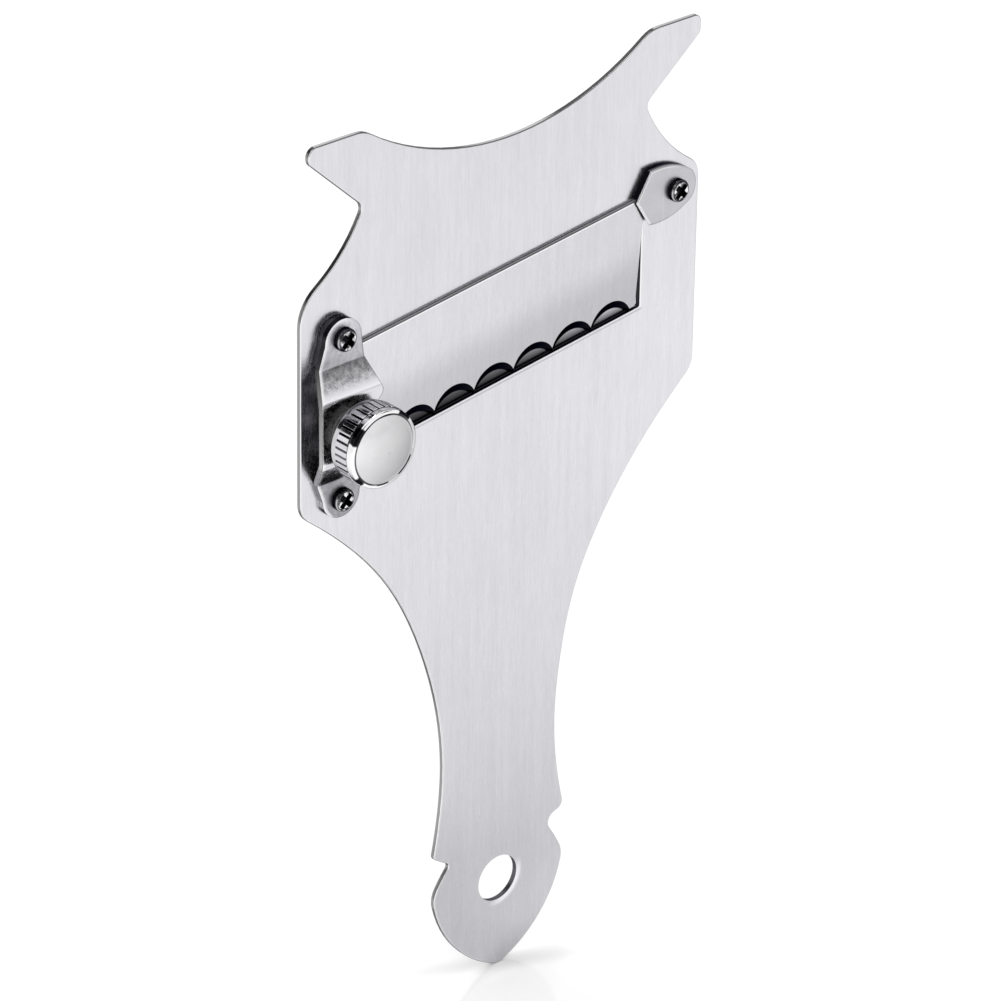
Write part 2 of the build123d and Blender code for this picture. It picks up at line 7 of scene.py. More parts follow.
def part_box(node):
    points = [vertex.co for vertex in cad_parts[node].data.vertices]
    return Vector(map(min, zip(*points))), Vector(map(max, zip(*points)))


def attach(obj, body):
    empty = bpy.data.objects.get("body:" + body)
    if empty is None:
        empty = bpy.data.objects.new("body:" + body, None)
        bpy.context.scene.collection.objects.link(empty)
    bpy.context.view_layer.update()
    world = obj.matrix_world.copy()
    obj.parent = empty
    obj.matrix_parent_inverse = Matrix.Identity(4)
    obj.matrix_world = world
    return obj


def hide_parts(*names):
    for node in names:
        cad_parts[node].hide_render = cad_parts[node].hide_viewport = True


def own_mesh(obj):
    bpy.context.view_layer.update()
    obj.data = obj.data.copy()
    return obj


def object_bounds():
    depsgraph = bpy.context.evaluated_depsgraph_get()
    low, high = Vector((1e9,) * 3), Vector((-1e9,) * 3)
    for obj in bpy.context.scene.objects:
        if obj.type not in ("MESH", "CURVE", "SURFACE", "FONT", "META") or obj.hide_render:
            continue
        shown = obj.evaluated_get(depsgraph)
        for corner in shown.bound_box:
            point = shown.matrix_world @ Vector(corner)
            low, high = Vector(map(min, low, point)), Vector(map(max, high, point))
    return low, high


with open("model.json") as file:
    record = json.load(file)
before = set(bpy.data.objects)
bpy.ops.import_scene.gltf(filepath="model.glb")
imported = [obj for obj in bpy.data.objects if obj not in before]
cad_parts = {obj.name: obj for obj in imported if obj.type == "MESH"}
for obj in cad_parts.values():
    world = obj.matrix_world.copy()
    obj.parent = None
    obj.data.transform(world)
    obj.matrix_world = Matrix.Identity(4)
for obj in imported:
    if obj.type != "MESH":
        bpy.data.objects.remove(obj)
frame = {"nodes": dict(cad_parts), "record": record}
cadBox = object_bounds()
nodes = frame["nodes"]
mm = 0.001

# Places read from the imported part
knobLow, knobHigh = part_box("knob")
knobCentre = (knobLow + knobHigh) / 2
joints = {joint["name"]: joint for joint in frame["record"]["behaviour"]["joints"]}
bladePivot = Vector(joints["blade_tilt"]["pos_m"])
alongBlade = Vector(joints["blade_tilt"]["axis"]).normalized()
acrossWindow = Vector((-alongBlade.z, 0, alongBlade.x))
holeCentre = (0, 0, 0)  # the hanging hole's centre is the origin

# Directions, seen from the knob's side
knobward = (0, -1, 0)
foodward = (0, 1, 0)
upward = (0, 0, 1)
rightward = (1, 0, 0)
leftward = (-1, 0, 0)


# The camera stands where the photograph was taken
cameraView = {
    "azimuth": -41.866,  # degrees round to the left of the knob's side
    "elevation": 28.238,
    "roll": 0.770,
    "distance": 0.879979,
    "shiftRight": 0.000790,  # from the aim point to the middle of the picture
    "shiftUp": 0.084452,
    "focalShare": 4.78657,  # focal length over the picture's width
    "sensorWidth": 36,
    "clipStart": 0.05,
    "aimPoint": (0, -0.5 * mm, -17.982 * mm),
}


def makeCamera(view):
    azimuth = math.radians(view["azimuth"])
    elevation = math.radians(view["elevation"])
    level = math.cos(elevation)
    back = Vector((math.sin(azimuth) * level, -math.cos(azimuth) * level, math.sin(elevation)))
    flat = Vector((math.cos(azimuth), math.sin(azimuth), 0))
    right = Matrix.Rotation(math.radians(view["roll"]), 3, back) @ flat
    up = back.cross(right)
    data = bpy.data.cameras.new("photoCamera")
    data.sensor_width = view["sensorWidth"]
    data.lens = view["focalShare"] * data.sensor_width
    data.clip_start = view["clipStart"]
    camera = bpy.data.objects.new("photoCamera", data)
    bpy.context.scene.collection.objects.link(camera)
    spot = Vector(view["aimPoint"]) + back * view["distance"]
    spot += up * view["shiftUp"] + right * view["shiftRight"]
    turn = Matrix((right, up, back)).transposed().to_4x4()
    camera.matrix_world = Matrix.Translation(spot) @ turn
    bpy.context.scene.camera = camera


# Material building blocks
edgeTint = (0.4, 0.4, 0.42, 1)  # dark steel stays dark at a glance
white = (1, 1, 1, 1)


def newFinish(name):
    material = bpy.data.materials.new(name)
    material.use_nodes = True
    tree = material.node_tree
    tree.nodes.clear()
    output = tree.nodes.new("ShaderNodeOutputMaterial")
    shader = tree.nodes.new("ShaderNodeBsdfPrincipled")
    shader.inputs["Specular Tint"].default_value = edgeTint
    tree.links.new(shader.outputs[0], output.inputs[0])
    return material, tree, shader


def newMetal(name):
    material, tree, shader = newFinish(name)
    shader.inputs["Metallic"].default_value = 1
    return material, tree, shader


def join(tree, value, socket):
    # a number or a colour is set, a node's output is linked
    if isinstance(value, bpy.types.NodeSocket):
        tree.links.new(value, socket)
    elif isinstance(value, (int, float)):
        socket.default_value = value
    elif len(socket.default_value) == 4:
        socket.default_value = (*value[:3], 1)
    else:
        socket.default_value = value


def paint(tree, shader, colour, roughness):
    tree.links.new(colour, shader.inputs["Base Color"])
    tree.links.new(roughness, shader.inputs["Roughness"])


def objectSpot(tree):
    return tree.nodes.new("ShaderNodeTexCoord").outputs["Object"]


def objectNormal(tree):
    return tree.nodes.new("ShaderNodeTexCoord").outputs["Normal"]


def grainSpot(tree, size, shift=(0, 0, 0)):
    mapping = tree.nodes.new("ShaderNodeMapping")
    mapping.inputs["Location"].default_value = shift
    mapping.inputs["Scale"].default_value = [1 / side for side in size]
    tree.links.new(objectSpot(tree), mapping.inputs[0])
    return mapping.outputs[0]


def noise(tree, size, detail=3.0, roughness=0.6, shift=(0, 0, 0)):
    # size is how large one grain is along X, Y and Z
    node = tree.nodes.new("ShaderNodeTexNoise")
    node.inputs["Scale"].default_value = 1
    node.inputs["Detail"].default_value = detail
    node.inputs["Roughness"].default_value = roughness
    tree.links.new(grainSpot(tree, size, shift), node.inputs["Vector"])
    return node.outputs[0]


def rescale(tree, value, fromLow, fromHigh, low=0.0, high=1.0, smooth=True):
    node = tree.nodes.new("ShaderNodeMapRange")
    node.interpolation_type = "SMOOTHSTEP" if smooth else "LINEAR"
    for name, number in (("From Min", fromLow), ("From Max", fromHigh), ("To Min", low), ("To Max", high)):
        node.inputs[name].default_value = number
    tree.links.new(value, node.inputs["Value"])
    return node.outputs[0]


def compute(tree, operation, *values):
    node = tree.nodes.new("ShaderNodeMath")
    node.operation = operation
    for socket, value in zip(node.inputs, values):
        join(tree, value, socket)
    return node.outputs[0]


def times(tree, *values):
    result = values[0]
    for value in values[1:]:
        result = compute(tree, "MULTIPLY", result, value)
    return result


def leftOver(tree, share):
    # what a share leaves of 1
    return compute(tree, "SUBTRACT", 1, share)


def mixed(tree, values, shares):
    # several noises added up by their shares
    parts = [times(tree, value, share) for value, share in zip(values, shares)]
    result = parts[0]
    for part in parts[1:]:
        result = compute(tree, "ADD", result, part)
    return result


noiseSpan = (0.3, 0.7)  # what one noise mostly stays between
mixedSpan = (0.35, 0.65)  # and several noises added up


def toneOf(tree, grain, low, high):
    # a tone between two values that follows a noise evenly
    return rescale(tree, grain, *noiseSpan, low, high, smooth=False)


def glossOf(tree, grain, gloss):
    # roughness between two values that follows a noise
    return rescale(tree, grain, *noiseSpan, *gloss)


def contrasted(tree, value, contrast, span=mixedSpan):
    # a tone round 1 that follows a noise
    return rescale(tree, value, *span, 1 - contrast, 1 + contrast, smooth=False)


def grey(tone):
    return (tone, tone, tone)


def blend(tree, share, one, two):
    node = tree.nodes.new("ShaderNodeMix")
    node.data_type = "RGBA"
    for socket, value in zip((node.inputs[0], node.inputs[6], node.inputs[7]), (share, one, two)):
        join(tree, value, socket)
    return node.outputs[2]


def tinted(tree, colour, tone):
    # a colour made lighter or darker by a value
    node = tree.nodes.new("ShaderNodeVectorMath")
    node.operation = "SCALE"
    join(tree, colour, node.inputs[0])
    join(tree, tone, node.inputs["Scale"])
    return node.outputs[0]


def vectorStep(tree, operation, value, other):
    node = tree.nodes.new("ShaderNodeVectorMath")
    node.operation = operation
    node.inputs[1].default_value = other
    tree.links.new(value, node.inputs[0])
    return node


def along(tree, direction, origin=(0, 0, 0)):
    # how far the surface lies from origin in a direction, in metres
    offset = vectorStep(tree, "SUBTRACT", objectSpot(tree), origin).outputs[0]
    return vectorStep(tree, "DOT_PRODUCT", offset, direction).outputs["Value"]


def facing(tree, direction):
    # 1 where the surface looks along direction, -1 where it looks the other way
    return vectorStep(tree, "DOT_PRODUCT", objectNormal(tree), direction).outputs["Value"]


def awayFrom(tree, centre, flatten=(1, 0, 1)):
    # distance from an axis through centre, which runs along Y unless flatten says otherwise
    offset = vectorStep(tree, "SUBTRACT", objectSpot(tree), centre).outputs[0]
    flat = vectorStep(tree, "MULTIPLY", offset, flatten).outputs[0]
    length = tree.nodes.new("ShaderNodeVectorMath")
    length.operation = "LENGTH"
    tree.links.new(flat, length.inputs[0])
    return length.outputs["Value"]


def toneAlong(tree, value, stops):
    # a tone that follows a place, through a few stops of (place, tone)
    low, high = stops[0][0], stops[-1][0]
    ramp = tree.nodes.new("ShaderNodeValToRGB")
    ramp.color_ramp.interpolation = "B_SPLINE"
    elements = ramp.color_ramp.elements
    while len(elements) < len(stops):
        elements.new(0.5)
    for element, (spot, tone) in zip(elements, stops):
        element.position = (spot - low) / (high - low)
        element.color = (tone / 2, tone / 2, tone / 2, 1)  # halved, because a ramp stops at 1
    tree.links.new(rescale(tree, value, low, high, smooth=False), ramp.inputs[0])
    return times(tree, ramp.outputs[0], 2)


def rounded(tree, radius):
    bevel = tree.nodes.new("ShaderNodeBevel")
    bevel.samples = 6
    bevel.inputs["Radius"].default_value = radius
    return bevel.outputs[0]


def nearEdge(tree, edge):
    # 1 within reach of an edge that looks toward a direction, 0 on the open face.
    # lean is how far the rounded normal leans that way where it fades in and where it is full.
    direction = Vector(edge["toward"]).normalized()
    bent = vectorStep(tree, "DOT_PRODUCT", rounded(tree, edge["reach"]), direction).outputs["Value"]
    lean = compute(tree, "SUBTRACT", bent, facing(tree, direction))
    return rescale(tree, lean, *edge["lean"])


def within(tree, value, low, high, soft):
    # 1 between low and high, fading over soft on both sides
    rise = rescale(tree, value, low - soft, low)
    fall = rescale(tree, value, high + soft, high)
    return times(tree, rise, fall)


def addRelief(tree, shader, height, depth, normal=None):
    bump = tree.nodes.new("ShaderNodeBump")
    bump.inputs["Distance"].default_value = depth
    tree.links.new(height, bump.inputs["Height"])
    if normal is not None:
        tree.links.new(normal, bump.inputs["Normal"])
    tree.links.new(bump.outputs[0], shader.inputs["Normal"])


brushShares = (0.6, 0.25, 0.15)  # of the scratches, the bands and the clouds


def brushing(tree, look):
    # fine scratches along Z over broader, fainter bands
    fine = noise(tree, look["scratch"], 3.0, 0.7)
    broad = noise(tree, look["band"], 2.0, 0.5, shift=(5, 2, 8))
    cloud = noise(tree, look["cloud"], 2.0, 0.5, shift=(1, 9, 4))
    return fine, contrasted(tree, mixed(tree, (fine, broad, cloud), brushShares), look["contrast"])


def dress(piece, material):
    piece.data.materials.clear()
    piece.data.materials.append(material)


# Body: a stamped and brushed sheet, with painted shade and painted light on its faces and painted shade,
# reflections and highlights on its cut edges
plate = {
    "colour": (0.674, 0.667, 0.697),
    "tones": (  # painted shade up the sheet, from the tip: darker toward the tip
        (-20 * mm, 0.86), (0 * mm, 0.80), (12 * mm, 0.80), (32 * mm, 0.92), (50 * mm, 0.93), (92 * mm, 1.03),
        (130 * mm, 0.985), (160 * mm, 0.985),
    ),
    # painted light across the sheet, lighter toward the right
    "paintedSideLight": ((-45 * mm, 1.03), (-15 * mm, 1.0), (15 * mm, 1.01), (45 * mm, 1.08)),
    "scratch": (0.20 * mm, 0.20 * mm, 2.6 * mm),
    "band": (1.1 * mm, 1.1 * mm, 25 * mm),
    "cloud": (9 * mm, 9 * mm, 14 * mm),
    "contrast": 0.075,
    "gloss": (0.20, 0.28),
    "edgeGloss": 0.30,
    "scratchDepth": 0.0016 * mm,
    "stretch": 0.5,
    "flatTurn": (0.80, 0.97),  # how squarely a surface looks out of the sheet to be its face
    "paintedLeftHighlight": 0.88,  # painted highlight just inside the left edges, and past the window's right end
    "leftEdge": {"toward": (-1, 0, -0.1), "reach": 0.45 * mm, "lean": (0.06, 0.35)},
}
# the cut walls' painted shade and painted reflections, with a painted highlight on the lit arris, in tones
# from the knob's side to the food side
plateWall = {
    "tones": ((-0.5 * mm, 0.13), (-0.1 * mm, 0.17), (0.5 * mm, 0.36)),
    "topTones": (
        (-0.5 * mm, 0.26), (-0.3 * mm, 0.26), (-0.1 * mm, 0.75), (0.2 * mm, 0.75), (0.5 * mm, 0.16),
    ),
    "topTurn": (0.975, 0.995),
    "mouthTone": 0.10,
    "mouthToward": (-0.35, 0, 0.94),
    "mouthTurn": (0.80, 0.92),
    "sideTone": 0.34,
    "sideTurn": (0.97, 0.995),
    "arrisColour": (0.17, 0.17, 0.18),  # painted dark reflection on the rounded edge before the wall
    # painted highlight on the arris that looks to the left
    "litArris": (0.92, 0.92, 0.93),
    "litToward": (-0.98, 0, 0.2),
    "litTurn": (0.40, 0.65),
    "arrisTurn": (0.25, 0.45),
}
window = {
    "ends": (-41.3 * mm, 31.6 * mm),
    "drop": 19.3 * mm,  # from its upper edge to its lower one
    # painted shade on the window's own walls
    "colour": (0.03, 0.03, 0.034),
    "wallMargin": 0.2 * mm,
    "topMargin": 0.1 * mm,
    "soft": 0.1 * mm,
    "rightGlow": 0.3 * mm,  # width of the painted highlight past its right end
    "rightGlowSoft": (0.08 * mm, 0.2 * mm),
    "seam": (0.62 * mm, 0.42 * mm),  # painted shade line on the sheet below the lower edge
    "seamTone": 0.72,
    "seamFade": 1 * mm,
}
hangingHole = {
    "radius": 4.6 * mm,
    # painted shade on the bore's wall
    "colour": (0.11, 0.11, 0.12),
    "wallFade": (0.6 * mm, 0.3 * mm),  # past the radius
    # painted highlight on the rim's lower right
    "paintedRimHighlight": (0.86, 0.86, 0.88),
    "rimFade": (1.5 * mm, 0.4 * mm),
    "rimToward": (0.75, 0, -0.66),
    "rimStart": (1.2 * mm, 4.6 * mm),
}


# painted shade, painted reflections and a painted arris highlight on the cut walls
def wallColour(tree, look):
    depth = along(tree, foodward)
    wall = toneAlong(tree, depth, look["tones"])
    isMouth = rescale(tree, facing(tree, look["mouthToward"]), *look["mouthTurn"])
    wall = blend(tree, isMouth, wall, grey(look["mouthTone"]))
    isTop = rescale(tree, facing(tree, upward), *look["topTurn"])
    wall = blend(tree, isTop, wall, toneAlong(tree, depth, look["topTones"]))
    isSide = rescale(tree, facing(tree, leftward), *look["sideTurn"])
    wall = blend(tree, isSide, wall, grey(look["sideTone"]))
    isLit = rescale(tree, facing(tree, look["litToward"]), *look["litTurn"])
    arris = blend(tree, isLit, look["arrisColour"], look["litArris"])
    isArris = rescale(tree, facing(tree, knobward), *look["arrisTurn"])
    return blend(tree, isArris, wall, arris)


def windowWalls(tree, look):
    # 1 on the window's own walls, where their painted shade goes
    left, right = look["ends"]
    margin = look["wallMargin"]
    drop = along(tree, acrossWindow, bladePivot)
    tall = within(tree, drop, -look["drop"] - margin, look["topMargin"], look["soft"])
    wide = within(tree, along(tree, rightward), left - margin, right + margin, look["soft"])
    return times(tree, tall, wide)


def paintedWindowHighlight(tree, look):
    # 1 on the painted highlight past the window's right end
    right = look["ends"][1]
    acrossSoft, dropSoft = look["rightGlowSoft"]
    beside = within(tree, along(tree, rightward), right, right + look["rightGlow"], acrossSoft)
    drop = along(tree, acrossWindow, bladePivot)
    return times(tree, beside, within(tree, drop, -look["drop"], 0, dropSoft))


def windowSeam(tree, look):
    # 1 on the painted shade line below the window's lower edge
    bottom, top = look["seam"]
    drop = along(tree, acrossWindow, bladePivot)
    line = within(tree, drop, -look["drop"] - bottom, -look["drop"] - top, look["soft"])
    return times(tree, line, within(tree, along(tree, rightward), *look["ends"], look["seamFade"]))


def dressPlate(look):
    material, tree, shader = newMetal("brushed plate steel")
    fine, lines = brushing(tree, look)
    # painted shade up the sheet and painted light across it
    tone = toneAlong(tree, along(tree, upward), look["tones"])
    side = toneAlong(tree, along(tree, rightward), look["paintedSideLight"])
    face = tinted(tree, look["colour"], times(tree, lines, tone, side))
    flat = rescale(tree, compute(tree, "ABSOLUTE", facing(tree, foodward)), *look["flatTurn"])
    inWindow = windowWalls(tree, window)
    radius = hangingHole["radius"]
    fromHole = awayFrom(tree, holeCentre)
    inHole = rescale(tree, fromHole, *[radius + margin for margin in hangingHole["wallFade"]])
    # painted shade on the cut walls, in the bore and in the window
    edge = blend(tree, inHole, wallColour(tree, plateWall), hangingHole["colour"])
    edge = blend(tree, inWindow, edge, window["colour"])
    outside = leftOver(tree, compute(tree, "MAXIMUM", inWindow, inHole))
    # painted highlight just inside the left edges and past the window's right end
    glow = times(tree, nearEdge(tree, look["leftEdge"]), outside)
    glow = compute(tree, "MAXIMUM", glow, paintedWindowHighlight(tree, window))
    face = blend(tree, glow, face, grey(look["paintedLeftHighlight"]))
    # painted shade line below the window's lower edge
    seam = rescale(tree, windowSeam(tree, window), 0, 1, 1.0, window["seamTone"], smooth=False)
    face = tinted(tree, face, seam)
    # painted highlight on the hole's rim at its lower right
    onRim = times(
        tree,
        rescale(tree, fromHole, *[radius + margin for margin in hangingHole["rimFade"]]),
        rescale(tree, along(tree, hangingHole["rimToward"]), *hangingHole["rimStart"]),
    )
    face = blend(tree, onRim, face, hangingHole["paintedRimHighlight"])
    extra = compute(tree, "SUBTRACT", glossOf(tree, fine, look["gloss"]), look["edgeGloss"])
    roughness = compute(tree, "ADD", look["edgeGloss"], times(tree, flat, extra))
    paint(tree, shader, blend(tree, flat, edge, face), roughness)
    shader.inputs["Anisotropic"].default_value = look["stretch"]
    addRelief(tree, shader, times(tree, fine, flat), look["scratchDepth"])
    dress(nodes["body_plate"], material)


# Blade: brushed like the body, with painted shade, painted light and painted highlights, and hollow grinds
# along its wavy edge painted black with painted reflections.
# Heights are square to it on the knob's side, and drops are below zero under the window's upper edge.
blade = {
    "colour": (0.680, 0.673, 0.703),
    # painted shade, darker toward the wavy edge
    "tones": ((-20 * mm, 0.77), (-12.5 * mm, 0.77), (-9.2 * mm, 0.90), (-6.5 * mm, 1.0), (3 * mm, 1.0)),
    "paintedSideLight": (1.02, 0.935),  # painted light, at the left end and at the right one
    "sideEnds": (-40 * mm, 32 * mm),
    "scratch": (0.20 * mm, 0.20 * mm, 2.2 * mm),
    "band": (0.9 * mm, 0.9 * mm, 20 * mm),
    "cloud": (7 * mm, 7 * mm, 10 * mm),
    "contrast": 0.08,
    "gloss": (0.20, 0.28),
    "scratchDepth": 0.0014 * mm,
    "round": 0.08 * mm,
    "stretch": 0.5,
    "restTilt": 2.7237,  # degrees
    "thickness": 0.7 * mm,
    "web": 0.18 * mm,  # left under the hollow grinds
    "gap": 0.03 * mm,
    "flatTurn": (0.30, 0.50),
    # painted shade on the top wall, darkest at the front arris, with most of its metal taken away so the
    # painted shade shows as written
    "wallColour": (0.99, 0.98, 1.02),
    "wallTones": ((0.03 * mm, 0.40), (0.25 * mm, 0.28), (0.48 * mm, 0.17), (0.73 * mm, 0.03)),
    "paintedWallNonMetal": 0.85,
    "wallStart": (1.5 * mm, 1.7 * mm),
    "lip": (1.8 * mm, 2.0 * mm),  # painted highlight at the top edge
    "lipSoft": 0.2 * mm,
    "paintedLipHighlight": (0.86, 0.86, 0.87),
}
# the hollow grinds painted black, with painted reflections in their lenses
hollowGrind = {
    "colour": (0.007, 0.007, 0.010),
    "top": (-13 * mm, -13.5 * mm),
    "belowFace": (0.006 * mm, 0.02 * mm),
    "groundTurn": (0.0, 0.1),
    "lensHeight": (0.03 * mm, 0.01 * mm),  # above the web
    "lensColour": (0.95, 0.94, 1.0),
    "lensTones": ((-34 * mm, 0.07), (-10 * mm, 0.17), (8 * mm, 0.28), (28 * mm, 0.95)),  # painted reflection, from left to right
    "lensDrops": ((-19.3 * mm, 0.05), (-18.4 * mm, 0.20), (-17.2 * mm, 0.65), (-15.4 * mm, 1.25)),
    "heelStart": (28.3 * mm, 28.9 * mm),  # painted shade in the corner past the last arch
    "heelDrop": (-18.7 * mm, -18.85 * mm),
}


def dressBlade(look, grind):
    material, tree, shader = newMetal("brushed blade steel")
    fine, lines = brushing(tree, look)
    drop = along(tree, acrossWindow, bladePivot)
    across = along(tree, rightward)
    side = rescale(tree, across, *look["sideEnds"], *look["paintedSideLight"], smooth=False)
    # painted shade down the blade and painted light along it, with a painted highlight at the lip
    face = tinted(tree, look["colour"], times(tree, lines, side, toneAlong(tree, drop, look["tones"])))
    face = blend(tree, within(tree, drop, *look["lip"], look["lipSoft"]), face, look["paintedLipHighlight"])
    tilt = math.radians(look["restTilt"])
    outOfBlade = Vector((0, -math.cos(tilt), 0)) - acrossWindow * math.sin(tilt)
    height = along(tree, outOfBlade, bladePivot)
    outward = facing(tree, outOfBlade)
    flat = rescale(tree, compute(tree, "ABSOLUTE", outward), *look["flatTurn"])
    # painted shade on the top wall
    wall = tinted(tree, look["wallColour"], toneAlong(tree, height, look["wallTones"]))
    sheet = blend(tree, flat, wall, face)
    faceTop = look["gap"] + look["thickness"]
    webTop = look["gap"] + look["web"]
    # painted black in the hollow grinds, with painted reflections in the lenses
    lens = rescale(tree, height, *[webTop + rise for rise in grind["lensHeight"]], smooth=False)
    light = toneAlong(tree, across, grind["lensTones"])
    light = times(tree, light, toneAlong(tree, drop, grind["lensDrops"]))
    hollow = blend(tree, lens, grind["colour"], tinted(tree, grind["lensColour"], light))
    isGround = times(
        tree,
        rescale(tree, height, *[faceTop - depth for depth in grind["belowFace"]], smooth=False),
        rescale(tree, outward, *grind["groundTurn"]),
        rescale(tree, drop, *grind["top"]),
    )
    # painted shade in the corner past the last arch
    isHeel = times(tree, rescale(tree, across, *grind["heelStart"]), rescale(tree, drop, *grind["heelDrop"]))
    colour = blend(tree, isHeel, blend(tree, isGround, sheet, hollow), grind["colour"])
    paint(tree, shader, colour, glossOf(tree, fine, look["gloss"]))
    # the top wall loses most of its metal, so its painted shade shows as written
    topWall = times(tree, leftOver(tree, flat), rescale(tree, drop, *look["wallStart"]))
    tree.links.new(leftOver(tree, times(tree, topWall, look["paintedWallNonMetal"])), shader.inputs["Metallic"])
    shader.inputs["Anisotropic"].default_value = look["stretch"]
    addRelief(tree, shader, times(tree, fine, flat), look["scratchDepth"], rounded(tree, look["round"]))
    dress(nodes["blade"], material)


# Bridge bracket: a stamped strip, bright plated and tumbled, with painted light and shade on its feet and
# slopes, painted highlights and shade on its edges and painted shade on its walls
bracket = {
    "footColour": (0.56, 0.555, 0.59),
    "footTones": (  # painted light, from the lower foot up to the upper one
        (94 * mm, 0.66), (100 * mm, 0.62), (116.5 * mm, 0.68), (119.5 * mm, 0.90), (122.5 * mm, 1.05),
        (126 * mm, 1.12),
    ),
    "footLines": (0.95, 1.05),
    "footGloss": 0.42,
    "slopeColour": (0.97, 0.96, 1.0),
    "slopeTones": (  # painted shade and highlight, from the lower foot's level out to the deck
        (1.5 * mm, 0.10), (2.2 * mm, 0.15), (2.65 * mm, 0.20), (3.2 * mm, 0.33), (3.8 * mm, 0.45),
        (4.3 * mm, 0.78), (4.85 * mm, 0.98),
    ),
    "deckColour": (0.70, 0.695, 0.72),
    "deckFade": (0.35 * mm, 0.1 * mm),  # below the deck's top
    "levelTurn": (0.93, 0.985),
    # painted shade on the walls
    "wallColour": (0.022, 0.022, 0.026),
    "wallTurn": (0.30, 0.15),
    "leftTones": (  # painted light, up the left wall
        (90 * mm, 0.62), (99 * mm, 0.56), (104 * mm, 0.36), (111 * mm, 0.25), (117 * mm, 0.10),
        (121 * mm, 0.03),
    ),
    "leftTurn": (0.90, 0.97),
    "frontEdge": {"toward": knobward, "reach": 0.32 * mm, "lean": (0.12, 0.35)},
    # painted highlight along the upper left edges
    "rimColour": (0.93, 0.93, 0.94),
    "rim": {"toward": (-0.93, 0, 0.36), "reach": 1.2 * mm, "lean": (0.03, 0.18)},
    # painted shade along the lower right edges
    "shadeColour": (0.16, 0.16, 0.17),
    "shade": {"toward": (0.93, 0, -0.36), "reach": 0.32 * mm, "lean": (0.10, 0.35)},
    "patch": grey(0.9 * mm),
    "speck": grey(0.28 * mm),
    "scratch": (0.2 * mm, 0.2 * mm, 1.6 * mm),
    "mottleShares": (0.65, 0.35),  # of patches and of specks
    "mottleSpan": (0.36, 0.64),
    "mottle": (0.55, 0.04),  # low on the slope and up at its bright bend
    "calmDepth": (3.6 * mm, 4.4 * mm),
    "footMottle": 0.20,
    "gloss": (0.16, 0.30),
    "pitDepth": 0.006 * mm,
    "round": 0.25 * mm,
}


def dressBracket(look):
    material, tree, shader = newMetal("tumbled bracket plating")
    deckTop = -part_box("bridge_bracket")[0].y
    patch = noise(tree, look["patch"], 4.0, 0.6)
    speck = noise(tree, look["speck"], 2.0, 0.6, shift=(3, 7, 1))
    lines = noise(tree, look["scratch"], 3.0, 0.6, shift=(8, 3, 5))
    mottle = mixed(tree, (patch, speck), look["mottleShares"])
    outward = facing(tree, knobward)
    level = rescale(tree, outward, *look["levelTurn"])
    depth = along(tree, knobward)
    height = along(tree, upward)
    onDeck = rescale(tree, depth, *[deckTop - below for below in look["deckFade"]])
    spread = rescale(tree, rescale(tree, depth, *look["calmDepth"]), 0, 1, *look["mottle"], smooth=False)
    noisy = times(tree, rescale(tree, mottle, *look["mottleSpan"], -1, 1, smooth=False), spread)
    # painted shade and highlight along the slope
    slopeTone = times(tree, toneAlong(tree, depth, look["slopeTones"]), compute(tree, "ADD", noisy, 1))
    slope = tinted(tree, look["slopeColour"], slopeTone)
    # painted light up the feet
    footTone = times(
        tree,
        contrasted(tree, mottle, look["footMottle"], look["mottleSpan"]),
        toneOf(tree, lines, *look["footLines"]),
        toneAlong(tree, height, look["footTones"]),
    )
    face = blend(tree, level, slope, tinted(tree, look["footColour"], footTone))
    face = blend(tree, times(tree, level, onDeck), face, look["deckColour"])
    # painted highlight on the upper left edges and painted shade on the lower right ones
    face = blend(tree, nearEdge(tree, look["rim"]), face, look["rimColour"])
    face = blend(tree, nearEdge(tree, look["shade"]), face, look["shadeColour"])
    # painted shade on the walls, with painted light up the left wall
    isWall = rescale(tree, compute(tree, "ABSOLUTE", outward), *look["wallTurn"])
    isLeft = times(
        tree,
        rescale(tree, facing(tree, leftward), *look["leftTurn"]),
        leftOver(tree, nearEdge(tree, look["frontEdge"])),
    )
    wall = blend(tree, isLeft, look["wallColour"], toneAlong(tree, height, look["leftTones"]))
    dull = rescale(tree, mottle, *mixedSpan, *look["gloss"])
    offDeck = leftOver(tree, onDeck)
    extra = times(tree, level, offDeck, compute(tree, "SUBTRACT", look["footGloss"], dull))
    paint(tree, shader, blend(tree, isWall, face, wall), compute(tree, "ADD", dull, extra))
    addRelief(tree, shader, times(tree, mottle, offDeck), look["pitDepth"], rounded(tree, look["round"]))
    dress(nodes["bridge_bracket"], material)


# Shim under the bracket's upper foot
shim = {
    "light": (0.42, 0.415, 0.44),
    "dark": (0.10, 0.10, 0.11),
    "wallTurn": (0.5, 0.2),
    "grain": grey(0.5 * mm),
    "gloss": (0.3, 0.45),
    "grainDepth": 0.004 * mm,
    "round": 0.06 * mm,
}


def dressShim(look):
    material, tree, shader = newMetal("shim steel")
    grain = noise(tree, look["grain"])
    sheet = blend(tree, grain, look["dark"], look["light"])
    # painted shade on the walls, in the dark tone
    isWall = rescale(tree, compute(tree, "ABSOLUTE", facing(tree, foodward)), *look["wallTurn"])
    paint(tree, shader, blend(tree, isWall, sheet, look["dark"]), glossOf(tree, grain, look["gloss"]))
    addRelief(tree, shader, grain, look["grainDepth"], rounded(tree, look["round"]))
    dress(nodes["foot_shim"], material)


